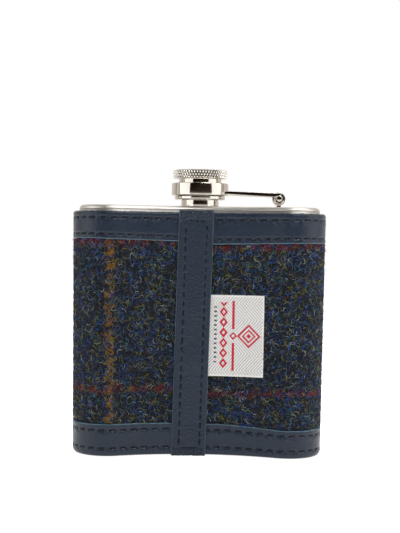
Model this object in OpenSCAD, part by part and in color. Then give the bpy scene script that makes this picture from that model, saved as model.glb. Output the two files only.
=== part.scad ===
// Hip flask in a wool and leather sleeve, with a captive screw cap on a hinged arm.
// Millimetres. The origin is at the middle of the base, +Z is up, and the hollow side
// of the curved body faces -Y. The cap's hinge is towards +X.

/* [Steel body] */
// Width of the steel body, from end to end
body_w = 90.5; // [70:0.5:115]
// Thickness of the steel body, measured across its curve
body_t = 22; // [18:0.5:28]
// Height of the steel body, from the base to the top plate
body_h = 92.8; // [75:0.1:125]
// Radius of the curve that the middle of the body follows
bend_r = 100; // [85:1:160]
// Thickness of the body's sheet
sheet_t = 0.55; // [0.4:0.05:0.9]
// Thickness of the top and bottom plates
plate_t = 0.6; // [0.4:0.05:1]
// Rounding of the rim of the two plates
rim_r = 1.5; // [1:0.1:2.5]

/* [Neck] */
// Radius of the neck's bore
neck_bore_r = 5; // [4:0.1:6.5]
// Wall between the bore and the root of the thread
neck_wall = 1.1; // [0.8:0.1:1.6]
// Depth of the thread
thread_depth = 0.5; // [0.3:0.05:0.7]
// Distance from one thread to the next
thread_pitch = 1.3; // [1:0.1:2]
// Height of the plain collar below the thread
collar_h = 2.7; // [1.5:0.1:5]
// Width of the collar's shoulder, outside the thread
collar_step = 0.55; // [0.3:0.05:1.5]
// Height of the neck above the top plate
neck_h = 8.3; // [6.5:0.1:12]
// Length of the spigot inside the body
spigot_h = 2.4; // [1.5:0.1:5]

/* [Cap] */
// Gap between the neck's thread and the cap's bore
cap_clear = 0.5; // [0.45:0.05:0.9]
// Gap between the cap's lower face and the neck's collar
seat_gap = 0.1; // [0.05:0.05:0.5]
// Wall of the cap's waist
cap_wall = 1; // [0.7:0.1:1.6]
// Width of the flange below the waist
flange_w = 1.5; // [0.8:0.1:2.5]
// Height of the flange
flange_h = 1.3; // [0.8:0.1:2.5]
// Height of the waist between the flange and the head
waist_h = 6.7; // [6.2:0.1:9]
// Distance that the knurled head stands out from the waist
head_w = 2.2; // [1.5:0.1:4]
// Height of the knurled band of the head
knurl_h = 3.1; // [2:0.1:6]
// Depth of the knurling
knurl_depth = 0.3; // [0.1:0.05:0.6]
// Height of the head's domed top
dome_h = 0.5; // [0.2:0.1:1.5]
// Thickness of the seal in the cap
seal_t = 1.1; // [0.6:0.1:2]
// Gap between the seal and the neck's mouth
seal_gap = 0.2; // [0.1:0.05:0.5]

/* [Arm and hinge] */
// Gap around the waist inside the captive ring
ring_clear = 0.2; // [0.1:0.05:0.5]
// Wall of the captive ring
ring_wall = 2.5; // [1:0.1:4]
// Height of the captive ring
ring_h = 4.75; // [3:0.05:6]
// Gap between the flange and the ring that rests above it
ring_gap = 0.15; // [0.1:0.05:0.5]
// Width of the arm
arm_w = 5; // [4:0.1:7]
// Thickness of the arm
arm_t = 1.5; // [1:0.1:2]
// Height of the hinge pin above the top plate
hinge_h = 3.5; // [3:0.1:5]
// Radius of the hinge pin
pin_r = 1.15; // [0.8:0.05:1.4]
// Wall of the arm's eyes around the pin
eye_wall = 0.85; // [0.6:0.05:1.2]
// Width of the bracket's knuckle, between the arm's eyes
knuckle_w = 2.2; // [1.6:0.1:3]
// Gap between the knuckle and each eye
knuckle_gap = 0.2; // [0.1:0.05:0.4]
// Width of the bracket's foot
foot_w = 1.4; // [1:0.1:2.5]
// Gap between the sleeve and the cap when it hangs open beside it
hang_gap = 2; // [1:0.1:6]

/* [Sleeve] */
// Thickness of the lining
lining_t = 0.6; // [0.4:0.05:1]
// Thickness of the tweed where it shows
tweed_t = 1.4; // [0.9:0.05:2]
// Thickness of the tweed where leather presses on it
tweed_hem_t = 0.65; // [0.4:0.05:1]
// Thickness of the leather
leather_t = 1; // [0.7:0.05:1.6]
// Height of steel that shows above the sleeve
steel_show = 2.2; // [1:0.1:6]
// Gap between the sleeve's lower edge and the surface that the flask stands on
sleeve_lift = 0.35; // [0.2:0.05:2]
// Height of the upper leather band
top_band_h = 11; // [8:0.1:20]
// Height of the lower leather band
bottom_band_h = 11.4; // [8:0.1:20]
// Width of the strap that covers the seam
strap_w = 12.8; // [9:0.1:20]
// Place of the strap's middle at its top end
strap_top_x = -1.1; // [-6:0.1:4]
// Place of the strap's middle at its bottom end
strap_bottom_x = -3.1; // [-6:0.1:4]
// Height that the strap's top end stands above the upper band
strap_over = 0.5; // [0:0.1:1.5]

/* [Label] */
// Width of the label that shows beside the strap
label_w = 20.2; // [12:0.1:26]
// Height of the label
label_h = 30.2; // [15:0.1:40]
// Height of the label's lower edge
label_z = 29.8; // [16:0.1:40]
// Thickness of the label
label_t = 0.5; // [0.3:0.05:1]
// Width of the label's edge that is tucked under the strap
label_tuck = 2.5; // [1:0.1:4]

/* [Stitching] */
// Distance from one stitch to the next
stitch_pitch = 3.85; // [3:0.05:6]
// Distance from one stitch to the next along the strap
strap_pitch = 3.4; // [3:0.05:6]
// Length of a stitch
stitch_l = 2.7; // [2:0.1:2.9]
// Thickness of the thread
thread_d = 0.45; // [0.3:0.05:0.7]
// Distance of the band's rows from the leather's edges
row_inset = 2.3; // [1.5:0.1:4]
// Distance of the strap's rows from its long edges
strap_inset = 2.5; // [1.5:0.1:4]
// Distance of the rows across the strap from its ends
tack_inset = 3; // [2:0.1:5]

/* [Hidden] */
$fn = 64;
eps = 0.01;

// Outline of the curved section. Each layer is the same outline at another half thickness.
steel_r = body_t / 2;
inside_r = steel_r - sheet_t;
end_x = body_w / 2 - steel_r;
bend_a = asin(end_x / bend_r);
bend_y = -(bend_r + bend_r * cos(bend_a)) / 2;
arc_steps = 12;
end_steps = 14;
plate_inside_r = steel_r - plate_t;

// Neck and cap, from the bore outwards. Their heights are above the top plate.
root_r = neck_bore_r + neck_wall;
crest_r = root_r + thread_depth;
collar_r = crest_r + collar_step;
cap_bore_r = crest_r + cap_clear;
waist_r = cap_bore_r + cap_wall;
flange_r = waist_r + flange_w;
head_r = waist_r + head_w;
ring_in_r = waist_r + ring_clear;
ring_r = ring_in_r + ring_wall;
neck_y = bend_y + bend_r;
flange_z = collar_h + seat_gap;
waist_z = flange_z + flange_h;
head_z = waist_z + waist_h;
seal_z = neck_h + seal_gap;
cap_fit_r = cap_bore_r / 2;
cap_fit_h = knurl_h / 2;
seal_edge = 0.1;
thread_runout = 0.7;
edge = 0.35;

// Sleeve layers, from the steel outwards
lining_r = steel_r + lining_t;
tweed_r = lining_r + tweed_t;
hem_r = lining_r + tweed_hem_t;
band_r = hem_r + leather_t;
strap_r = max(band_r, tweed_r) + leather_t;
sleeve_top = body_h - steel_show;
sleeve_half_w = end_x + band_r;
top_band_z = sleeve_top - top_band_h;
bottom_band_top = sleeve_lift + bottom_band_h;
// Gap under the straight stitches, so that the hollow side's curve clears them
thread_lift = 0.08;

// Hinge. The arm turns through half a turn, so the cap hangs clear of the sleeve.
hinge_x = (sleeve_half_w + hang_gap + ring_r) / 2;
eye_r = pin_r + eye_wall;
knuckle_r = eye_r + 0.5;
pin_clear = 0.05;
pin_proud = 0.3;
ring_z = waist_z + ring_gap;
arm_z = ring_z + edge + 0.1;
arm_drop = 0.55;
fork_x = hinge_x - knuckle_r - 0.6;

// Points of the outline at half thickness r, clockwise from the convex side's left end
function about_bend(r, a) = [r * sin(a), bend_y + r * cos(a)];
function about_end(side, r, a) = about_bend(bend_r, side * bend_a) + r * [sin(a), cos(a)];
function outline(r) = concat(
  [for (i = [0:arc_steps]) about_bend(bend_r + r, bend_a * (2 * i / arc_steps - 1))],
  [for (i = [1:end_steps - 1]) about_end(1, r, bend_a + 180 * i / end_steps)],
  [for (i = [0:arc_steps]) about_bend(bend_r - r, bend_a * (1 - 2 * i / arc_steps))],
  [for (i = [1:end_steps - 1]) about_end(-1, r, 180 - bend_a + 180 * i / end_steps)]
);

// Place on the outline at distance s from the middle of the hollow side, towards +X.
// Gives x, y and the compass direction that the surface faces there.
function arc_l(r) = r * bend_a * PI / 180;
function wrap_length(r) = 2 * arc_l(bend_r - r) + 2 * PI * r + 2 * arc_l(bend_r + r);
function degrees(s, r) = s / r * 180 / PI;
function wrap_place(s, r) =
  let (near = arc_l(bend_r - r), round_end = PI * r, far = 2 * arc_l(bend_r + r))
  let (b = near + round_end, c = b + far, d = c + round_end)
  s < near ? hollow_place(degrees(s, bend_r - r), r)
  : s < b ? end_place(1, 180 + bend_a - degrees(s - near, r), r)
  : s < c ? full_place(bend_a - degrees(s - b, bend_r + r), r)
  : s < d ? end_place(-1, -bend_a - degrees(s - c, r), r)
  : hollow_place(degrees(s - d, bend_r - r) - bend_a, r);
function hollow_place(a, r) = concat(about_bend(bend_r - r, a), a + 180);
function full_place(a, r) = concat(about_bend(bend_r + r, a), a);
function end_place(side, a, r) = concat(about_end(side, r, a), a);

// A solid between heights z0 and z1 with the outline at half thickness r
module slab(r, z0, z1) {
  translate([0, 0, z0])
    linear_extrude(z1 - z0)
      polygon(outline(r));
}

// A wall that follows the outline, between half thicknesses r0 and r1
module wall(r0, r1, z0, z1) {
  translate([0, 0, z0])
    linear_extrude(z1 - z0)
      difference() {
        polygon(outline(r1));
        polygon(outline(r0));
      }
}

// A shallow pressed plate with a turned-down rim, rounded in steps up to its flat top
module pressed_plate() {
  steps = 5;
  difference() {
    union()
      for (i = [0:steps - 1])
        slab(
          steel_r - rim_r * (1 - cos(90 * i / steps)),
          0,
          rim_r * sin(90 * (i + 1) / steps)
        );
    slab(plate_inside_r, -1, rim_r - plate_t);
  }
}

// Position at a height above the top plate on the neck's axis
module on_neck(z = 0) {
  translate([0, neck_y, body_h + z])
    children();
}

module body_shell() {
  color("silver")
    wall(inside_r, steel_r, rim_r, body_h - rim_r);
}

module top_plate() {
  color("gainsboro")
    difference() {
      translate([0, 0, body_h - rim_r])
        pressed_plate();
      on_neck(-rim_r - 1)
        cylinder(h = rim_r + 2, r = root_r);
    }
}

module bottom_plate() {
  color("gainsboro")
    translate([0, 0, rim_r])
      mirror([0, 0, 1])
        pressed_plate();
}

// Turned neck: spigot, collar and thread, with a bore through all of it
module neck() {
  turns = floor((neck_h - collar_h - 2 * thread_runout) / thread_pitch);
  thread_z = neck_h - thread_runout - turns * thread_pitch;
  color("whitesmoke")
    on_neck()
      rotate_extrude()
        polygon(concat(
          [[neck_bore_r, -plate_t - spigot_h], [root_r, -plate_t - spigot_h], [root_r, 0],
            [collar_r, 0], [collar_r, collar_h], [root_r, collar_h]],
          [for (i = [0:turns - 1], p = [[0, 0], [1, 0.4], [1, 0.6], [0, 1]])
            [root_r + p[0] * thread_depth, thread_z + (i + 0.96 * p[1]) * thread_pitch]],
          [[root_r, neck_h], [neck_bore_r, neck_h]]
        ));
}

// Lug on the top plate that carries the pin
module hinge_bracket() {
  color("silver")
    translate([hinge_x, neck_y, body_h])
      difference() {
        union() {
          translate([0, knuckle_w / 2, hinge_h])
            rotate([90, 0, 0])
              cylinder(h = knuckle_w, r = knuckle_r);
          translate([-foot_w / 2, -knuckle_w / 2, 0])
            cube([foot_w, knuckle_w, hinge_h]);
          translate([-foot_w, -knuckle_w / 2, 0])
            cube([2 * foot_w, knuckle_w, plate_t]);
        }
        translate([0, knuckle_w, hinge_h])
          rotate([90, 0, 0])
            cylinder(h = 2 * knuckle_w, r = pin_r + pin_clear);
      }
}

module hinge_pin() {
  pin_l = arm_w + 2 * pin_proud;
  color("white")
    translate([hinge_x, neck_y + pin_l / 2, body_h + hinge_h])
      rotate([90, 0, 0])
        cylinder(h = pin_l, r = pin_r);
}

// Flat bar from the captive ring to the hinge, forked around the bracket's knuckle
module arm() {
  low = arm_z;
  high = arm_z + arm_t;
  color("lightgray")
    translate([0, neck_y, body_h])
      difference() {
        union() {
          translate([0, arm_w / 2, 0])
            rotate([90, 0, 0])
              linear_extrude(arm_w)
                polygon([
                  [waist_r, low], [hinge_x, low - arm_drop],
                  [hinge_x, high - arm_drop], [waist_r, high]
                ]);
          translate([hinge_x, arm_w / 2, hinge_h])
            rotate([90, 0, 0])
              cylinder(h = arm_w, r = eye_r);
        }
        translate([fork_x, -knuckle_w / 2 - knuckle_gap, -1])
          cube([2 * knuckle_r + 2, knuckle_w + 2 * knuckle_gap, head_z]);
        cylinder(h = head_z, r = ring_r);
        translate([hinge_x, arm_w, hinge_h])
          rotate([90, 0, 0])
            cylinder(h = 2 * arm_w, r = pin_r);
      }
}

// Broad band around the cap's waist
module captive_ring() {
  color("whitesmoke")
    on_neck(ring_z)
      rotate_extrude()
        polygon([
          [ring_in_r, edge], [ring_in_r + edge, 0], [ring_r - edge, 0], [ring_r, edge],
          [ring_r, ring_h - edge], [ring_r - edge, ring_h], [ring_in_r + edge, ring_h],
          [ring_in_r, ring_h - edge]
        ]);
}

// Cup of the cap: flange and waist, closed at the top, with a stub that holds the head
module cap_skirt() {
  color("whitesmoke")
    on_neck()
      rotate_extrude()
        polygon([
          [cap_bore_r, flange_z], [flange_r - edge, flange_z], [flange_r, flange_z + edge],
          [flange_r, waist_z - edge], [flange_r - edge, waist_z], [waist_r, waist_z],
          [waist_r, head_z], [cap_fit_r, head_z], [cap_fit_r, head_z + cap_fit_h],
          [0, head_z + cap_fit_h], [0, seal_z + seal_t], [cap_bore_r, seal_z + seal_t]
        ]);
}

// Knurled head: a toothed band between two smooth rims, with a low dome
module cap_head() {
  teeth = 72;
  rim = 0.5;
  core_r = head_r - knurl_depth - edge;
  color("white")
    on_neck(head_z)
      difference() {
        union() {
          translate([0, 0, rim])
            linear_extrude(knurl_h - 2 * rim)
              polygon([for (i = [0:2 * teeth - 1])
                (head_r - (i % 2) * knurl_depth)
                  * [cos(180 * i / teeth), sin(180 * i / teeth)]]);
          rotate_extrude()
            polygon([
              [0, 0], [head_r - edge, 0], [head_r - edge, rim / 2], [core_r, rim],
              [core_r, knurl_h - rim], [head_r - edge, knurl_h - rim / 2],
              [head_r - edge, knurl_h],
              [head_r - 1.5, knurl_h + 0.6 * dome_h], [head_r / 2, knurl_h + 0.93 * dome_h],
              [0, knurl_h + dome_h]
            ]);
        }
        translate([0, 0, -1])
          cylinder(h = cap_fit_h + 1, r = cap_fit_r);
      }
}

// Soft disc that closes the neck's mouth
module cap_seal() {
  color("dimgray")
    on_neck(seal_z)
      cylinder(h = seal_t, r = cap_bore_r - seal_edge);
}

module sleeve_lining() {
  color("midnightblue")
    wall(steel_r, lining_r, sleeve_lift, sleeve_top - leather_t);
}

// One strip of tweed around the flask, pressed thinner under the two leather bands
module tweed_wrap() {
  color("darkslategray")
    union() {
      wall(lining_r, hem_r, sleeve_lift, sleeve_top - leather_t);
      wall(lining_r, tweed_r, bottom_band_top, top_band_z);
    }
}

// Leather band with its upper edge turned over the lining
module top_band() {
  color([0.17, 0.20, 0.25])
    union() {
      wall(hem_r, band_r, top_band_z, sleeve_top);
      wall(steel_r, band_r, sleeve_top - leather_t, sleeve_top);
    }
}

module bottom_band() {
  color([0.17, 0.20, 0.25])
    wall(hem_r, band_r, sleeve_lift, bottom_band_top);
}

function strap_x(z) =
  strap_bottom_x + (strap_top_x - strap_bottom_x) * z / sleeve_top;

// Slanted slice through the hollow side that the strap fills
module strap_slice(z0, z1) {
  translate([0, bend_y + bend_r - steel_r + eps, 0])
    rotate([90, 0, 0])
      linear_extrude(2 * strap_r)
        polygon([
          [strap_x(z0) - strap_w / 2, z0], [strap_x(z0) + strap_w / 2, z0],
          [strap_x(z1) + strap_w / 2, z1], [strap_x(z1) - strap_w / 2, z1]
        ]);
}

// Leather strap over the seam, bedded on the bands and on the tweed between them
module seam_strap() {
  strap_z0 = sleeve_lift / 2;
  strap_z1 = sleeve_top + strap_over;
  color([0.19, 0.22, 0.28])
    difference() {
      intersection() {
        wall(min(tweed_r, band_r), strap_r, strap_z0, strap_z1);
        strap_slice(strap_z0, strap_z1);
      }
      slab(band_r, strap_z0 - 1, bottom_band_top);
      slab(band_r, top_band_z, strap_z1 + 1);
      if (tweed_r > band_r)
        slab(tweed_r, bottom_band_top, top_band_z);
      label_layer(steel_r, tweed_r + label_fold());
    }
}

// The tucked edge is as thick as the space between the tweed and the strap
function label_fold() = min(label_t, 0.25);

// The label's outline, swept between two half thicknesses of the section
module label_layer(r0, r1) {
  right = strap_x(label_z) + strap_w / 2 + label_w;
  left = strap_x(label_z + label_h) + strap_w / 2 - label_tuck;
  intersection() {
    wall(r0, r1, label_z, label_z + label_h);
    translate([left, bend_y, 0])
      cube([right - left, bend_r - steel_r, body_h]);
  }
}

// Folded ribbon label. Only its thin edge goes under the strap.
module woven_label() {
  color("white")
    union() {
      label_layer(tweed_r, tweed_r + label_fold());
      difference() {
        label_layer(tweed_r, tweed_r + label_t);
        translate([0.1, 0, 0])
          strap_slice(0, body_h);
      }
    }
}

// One stitch, lying along X on a surface that faces +Y
module stitch() {
  translate([-stitch_l / 2, thread_lift, -thread_d / 2])
    cube([stitch_l, 0.6 * thread_d, thread_d]);
}

// A row around the sleeve at height z, left out where the strap covers it
module wrap_row(z) {
  total = wrap_length(band_r);
  count = floor((total - strap_w - stitch_pitch) / stitch_pitch);
  start = strap_x(z) + strap_w / 2 + (total - strap_w - (count - 1) * stitch_pitch) / 2;
  for (i = [0:count - 1]) {
    place = wrap_place(start + i * stitch_pitch, band_r);
    translate([place[0], place[1], z])
      rotate([0, 0, -place[2]])
        stitch();
  }
}

// A stitch on the strap's face at distance x from its middle
module strap_stitch(x, z, turn) {
  a = asin((strap_x(z) + x) / (bend_r - strap_r));
  place = hollow_place(a, strap_r);
  lean = atan((strap_top_x - strap_bottom_x) / sleeve_top);
  translate([place[0], place[1], z])
    rotate([0, 0, -place[2]])
      rotate([0, turn - lean, 0])
        stitch();
}

module strap_row(x) {
  span = sleeve_top - 2 * tack_inset - strap_pitch;
  count = floor(span / strap_pitch);
  start = sleeve_top / 2 - (count - 1) * strap_pitch / 2;
  for (i = [0:count - 1])
    strap_stitch(x, start + i * strap_pitch, 90);
}

// Short rows across both ends of the strap
module strap_tacks() {
  half = strap_w / 2 - strap_inset;
  count = max(2, round(2 * half / strap_pitch));
  for (z = [tack_inset, sleeve_top + strap_over - tack_inset], i = [0:count - 1])
    strap_stitch(half * (2 * (i + 0.5) / count - 1), z, 0);
}

module thread_color() {
  color([0.08, 0.09, 0.15])
    children();
}

module stitching_top_upper() {
  thread_color() wrap_row(sleeve_top - row_inset);
}

module stitching_top_lower() {
  thread_color() wrap_row(top_band_z + row_inset);
}

module stitching_bottom_upper() {
  thread_color() wrap_row(bottom_band_top - row_inset);
}

module stitching_bottom_lower() {
  thread_color() wrap_row(sleeve_lift + row_inset);
}

module stitching_strap_left() {
  thread_color() strap_row(strap_inset - strap_w / 2);
}

module stitching_strap_right() {
  thread_color() strap_row(strap_w / 2 - strap_inset);
}

module stitching_strap_ends() {
  thread_color() strap_tacks();
}

body_shell();
top_plate();
bottom_plate();
neck();
hinge_bracket();
hinge_pin();
arm();
captive_ring();
cap_skirt();
cap_head();
cap_seal();
sleeve_lining();
tweed_wrap();
top_band();
bottom_band();
seam_strap();
woven_label();
stitching_top_upper();
stitching_top_lower();
stitching_bottom_upper();
stitching_bottom_lower();
stitching_strap_left();
stitching_strap_right();
stitching_strap_ends();
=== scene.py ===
"""Looks of a curved steel hip flask with a captive cap, in a tweed and leather sleeve. Metres."""
import math

import bmesh
import bpy
import numpy as np
from mathutils import Matrix, Vector


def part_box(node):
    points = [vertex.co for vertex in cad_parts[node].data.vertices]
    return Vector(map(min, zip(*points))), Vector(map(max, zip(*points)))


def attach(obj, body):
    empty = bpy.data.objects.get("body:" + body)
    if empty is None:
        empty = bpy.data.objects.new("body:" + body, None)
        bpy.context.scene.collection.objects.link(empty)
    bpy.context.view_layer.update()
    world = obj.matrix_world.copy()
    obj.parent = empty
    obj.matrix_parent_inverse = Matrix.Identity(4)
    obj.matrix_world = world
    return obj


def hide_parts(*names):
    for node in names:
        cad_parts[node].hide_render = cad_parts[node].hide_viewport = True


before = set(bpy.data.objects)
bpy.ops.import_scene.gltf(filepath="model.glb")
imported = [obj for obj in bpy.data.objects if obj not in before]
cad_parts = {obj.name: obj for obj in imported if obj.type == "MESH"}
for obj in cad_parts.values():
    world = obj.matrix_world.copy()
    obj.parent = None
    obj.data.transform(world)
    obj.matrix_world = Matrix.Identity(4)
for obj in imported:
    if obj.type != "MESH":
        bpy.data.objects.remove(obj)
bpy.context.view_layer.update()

MM = 0.001
BODY = "flask"

# The curved section: its middle follows an arc, and each layer lies at its own distance from it
BEND_R = 100 * MM
END_X = 34.25 * MM
BEND_A = math.asin(END_X / BEND_R)
BEND_Y = -BEND_R * (1 + math.cos(BEND_A)) / 2
STEEL_R = 11 * MM
STEEL_T = 0.55 * MM
LINING_R = 11.6 * MM
LINING_T = 0.5 * MM
HEM_R = 12.25 * MM
EDGE_R = 12.9 * MM
CLOTH_R = 13.0 * MM
BAND_R = 13.25 * MM
STRAP_R = 14.25 * MM

# Length round the sleeve, from the middle of the hollow side towards the hinge
NEAR_L = (BEND_R - BAND_R) * BEND_A
ROUND_L = math.pi * BAND_R
FAR_L = 2 * (BEND_R + BAND_R) * BEND_A
KNOTS = np.cumsum([0, NEAR_L, ROUND_L, FAR_L, ROUND_L, NEAR_L])
WRAP_L = KNOTS[-1]
FACING = [math.pi, math.pi + BEND_A, BEND_A, -BEND_A, -BEND_A - math.pi, -math.pi]
ALONG = [0, BEND_A, BEND_A, -BEND_A, -BEND_A, 0]

PLATE_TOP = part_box("top_plate")[1].z
PLATE_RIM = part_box("top_plate")[0].z
BASE_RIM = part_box("bottom_plate")[1].z
SLEEVE_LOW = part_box("bottom_band")[0].z
SLEEVE_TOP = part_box("top_band")[1].z
TOP_BAND_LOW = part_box("top_band")[0].z
BOTTOM_BAND_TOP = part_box("bottom_band")[1].z
LABEL_LOW, LABEL_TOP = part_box("woven_label")[0].z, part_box("woven_label")[1].z
NECK_Y = (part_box("neck")[0].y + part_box("neck")[1].y) / 2
NECK_LOW, NECK_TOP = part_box("neck")[0].z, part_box("neck")[1].z
SKIRT_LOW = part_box("cap_skirt")[0].z
HEAD_LOW, HEAD_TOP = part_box("cap_head")[0].z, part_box("cap_head")[1].z
RING_LOW, RING_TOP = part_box("captive_ring")[0].z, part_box("captive_ring")[1].z

SLEEVE_TAPER = 0.017
# The bands' two ends meet under the strap
SEAM_S = -2 * MM
STRAP_W = 12.8 * MM


def place(s, r, z):
    """Points at length s round the section and distance r from its middle line."""
    s = np.asarray(s) % WRAP_L
    facing, along = np.interp(s, KNOTS, FACING), np.interp(s, KNOTS, ALONG)
    x = BEND_R * np.sin(along) + r * np.sin(facing)
    y = BEND_Y + BEND_R * np.cos(along) + r * np.cos(facing)
    return np.stack(np.broadcast_arrays(x, y, z), -1)


def on_sleeve(s, r, z):
    """The same on the sleeve, which narrows a little towards its foot."""
    points = place(s, r, z)
    points[..., 0] *= 1 - SLEEVE_TAPER * (1 - np.clip(points[..., 2] / SLEEVE_TOP, 0, 1))
    return points


def s_of_x(x, r):
    """Length round the section of the hollow side's point at x."""
    return (BEND_R - BAND_R) * np.arcsin(x / (BEND_R - r))


def strap_x(z):
    """Middle of the strap at height z."""
    return (-3.1 + 2.0 * np.asarray(z) / SLEEVE_TOP) * MM


def round_seam(s, keys):
    """A value that runs straight from key to key round the sleeve; keys are (mm, mm)."""
    at, value = np.array(keys).T
    u = (np.asarray(s) - SEAM_S) % WRAP_L / MM
    at = np.where(at < 0, at + WRAP_L / MM, at)
    return np.interp(u, at, value) * MM


def top_drift(s):
    return round_seam(s, [(0, -1.2), (12, -0.95), (38, -0.35), (56, -0.2),
                          (-56, 0.75), (-38, 0.7), (-12, 0.1), (-1e-6, -0.15)])


def bottom_drift(s):
    return round_seam(s, [(0, 0.25), (14, 0.1), (34, -1.1), (56, -1.1),
                          (-56, 0.4), (-34, 0.45), (-12, 0.5), (-1e-6, 0.5)])


def weft_drift(s):
    return round_seam(s, [(0, -1.5), (12, -1.2), (38, -0.35), (56, -0.2),
                          (-56, 0.6), (-34, 0.55), (-1e-6, 0.7)])


def value_noise(x, y, seed):
    """Smooth lattice noise from -1 to 1."""
    table = np.random.default_rng(seed).uniform(-1, 1, (256, 256))
    xi, yi = np.floor(x).astype(int), np.floor(y).astype(int)
    fx, fy = x - xi, y - yi
    fx, fy = fx * fx * (3 - 2 * fx), fy * fy * (3 - 2 * fy)
    a, b = table[xi % 256, yi % 256], table[(xi + 1) % 256, yi % 256]
    c, d = table[xi % 256, (yi + 1) % 256], table[(xi + 1) % 256, (yi + 1) % 256]
    return (a * (1 - fx) + b * fx) * (1 - fy) + (c * (1 - fx) + d * fx) * fy


def bump(x, width):
    """1 at zero, falling off smoothly over the width on both sides."""
    return np.exp(-(x / width) ** 2)


# ---------------------------------------------------------------- meshes

def link(name, data, materials):
    obj = bpy.data.objects.new(name, data)
    bpy.context.scene.collection.objects.link(obj)
    for material in materials:
        data.materials.append(material)
    return obj


def stand_for(obj, slot, *nodes, body=BODY):
    """Puts a piece on its body and hides the CAD nodes that it replaces; slot is not used."""
    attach(obj, body)
    if nodes:
        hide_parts(*nodes)
    return obj


def finish_mesh(name, bm, materials, sharp=None, outward=False):
    """Merges doubles and makes an object with smooth faces, split at edges sharper than sharp degrees."""
    bmesh.ops.remove_doubles(bm, verts=bm.verts, dist=0.002 * MM)
    bmesh.ops.dissolve_degenerate(bm, edges=bm.edges, dist=0.001 * MM)
    if outward:
        bmesh.ops.recalc_face_normals(bm, faces=bm.faces)
    mesh = bpy.data.meshes.new(name)
    bm.to_mesh(mesh)
    bm.free()
    mesh.shade_smooth()
    if sharp:
        mesh.set_sharp_from_angle(angle=math.radians(sharp))
    return link(name, mesh, materials)


def grid(name, us, vs, shape, materials, face_material=None, masks=None, sharp=None, drop=None):
    """A grid over us and vs, shaped by shape(u, v), with its seams merged."""
    bm = bmesh.new()
    bmesh.ops.create_grid(bm, x_segments=len(us) - 1, y_segments=len(vs) - 1, size=0.5)
    raw = bpy.data.meshes.new("raw")
    bm.to_mesh(raw)
    bm.free()
    co = np.empty(len(raw.vertices) * 3, np.float32)
    raw.vertices.foreach_get("co", co)
    co = co.reshape(-1, 3)
    iu = np.rint((co[:, 0] + 0.5) * (len(us) - 1)).astype(int)
    iv = np.rint((co[:, 1] + 0.5) * (len(vs) - 1)).astype(int)
    u, v = np.asarray(us)[iu], np.asarray(vs)[iv]
    points = shape(u, v)
    raw.vertices.foreach_set("co", points.astype(np.float32).ravel())
    corner = np.empty(len(raw.loops), np.int32)
    raw.loops.foreach_get("vertex_index", corner)
    cloth = raw.uv_layers.new(name="cloth")
    cloth.data.foreach_set("uv", np.stack([u, points[:, 2]], -1)[corner].astype(np.float32).ravel())
    for key, values in (masks(u, points[:, 2]) if masks else {}).items():
        if values.ndim == 2:
            layer = raw.color_attributes.new(key, "FLOAT_COLOR", "POINT")
            values = np.concatenate([values, np.ones((len(values), 1))], 1)
            layer.data.foreach_set("color", values.astype(np.float32).ravel())
        else:
            layer = raw.attributes.new(key, "FLOAT", "POINT")
            layer.data.foreach_set("value", values.astype(np.float32))
    if face_material:
        index = face_material(iv[corner].reshape(-1, 4).min(1)).astype(np.int32)
        raw.polygons.foreach_set("material_index", index)
    bm = bmesh.new()
    bm.from_mesh(raw)
    bpy.data.meshes.remove(raw)
    if drop:
        dropped = [f for f in bm.faces if drop(f.calc_center_median())]
        bmesh.ops.delete(bm, geom=dropped, context="FACES")
    return finish_mesh(name, bm, materials, sharp)


def fine(a, b, step):
    """Even values from a to b, about a step apart."""
    return np.linspace(a, b, max(2, int(round(abs(b - a) / step)) + 1))


def eased(corners, radius, steps=4):
    """A closed profile of (r, z) with its corners rounded."""
    made = []
    for i, (r, z) in enumerate(corners):
        here = Vector((r, z))
        before, after = Vector(corners[i - 1]), Vector(corners[(i + 1) % len(corners)])
        back, on = before - here, after - here
        cut = min(radius, back.length * 0.45, on.length * 0.45)
        if r < 1e-7 or cut < 1e-7:
            made.append((r, z))
            continue
        start, end = here + back.normalized() * cut, here + on.normalized() * cut
        for k in range(steps + 1):
            t = k / steps
            made.append(tuple(start * (1 - t) ** 2 + here * 2 * t * (1 - t) + end * t * t))
    return made


def turned(name, profile, material, steps, shape=None):
    """A turned part about the neck's axis, from a closed profile of (r, z)."""
    bm = bmesh.new()
    verts = [bm.verts.new((r, NECK_Y, z)) for r, z in profile]
    edges = [bm.edges.new(pair) for pair in zip(verts, verts[1:] + verts[:1])]
    bmesh.ops.spin(bm, geom=verts + edges, cent=(0, NECK_Y, 0), axis=(0, 0, 1), dvec=(0, 0, 0),
                   angle=2 * math.pi, steps=steps, use_merge=True)
    if shape:
        for vert in bm.verts:
            shape(vert)
    return finish_mesh(name, bm, [material], 35, outward=True)


def strands(name, paths, radii, material, sides=0):
    """Threads or hairs as one curve; paths is (count, points, 3)."""
    curve = bpy.data.curves.new(name, "CURVE")
    curve.dimensions = "3D"
    curve.bevel_depth = 1.0
    curve.bevel_resolution = sides
    curve.use_fill_caps = True
    count, length = paths.shape[:2]
    for path, radius in zip(paths, radii):
        spline = curve.splines.new("POLY")
        spline.points.add(length - 1)
        points = np.concatenate([path, np.ones((length, 1))], 1)
        spline.points.foreach_set("co", points.astype(np.float32).ravel())
        spline.points.foreach_set("radius", np.asarray(radius, np.float32))
    return link(name, curve, [material])


# ---------------------------------------------------------------- materials

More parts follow.
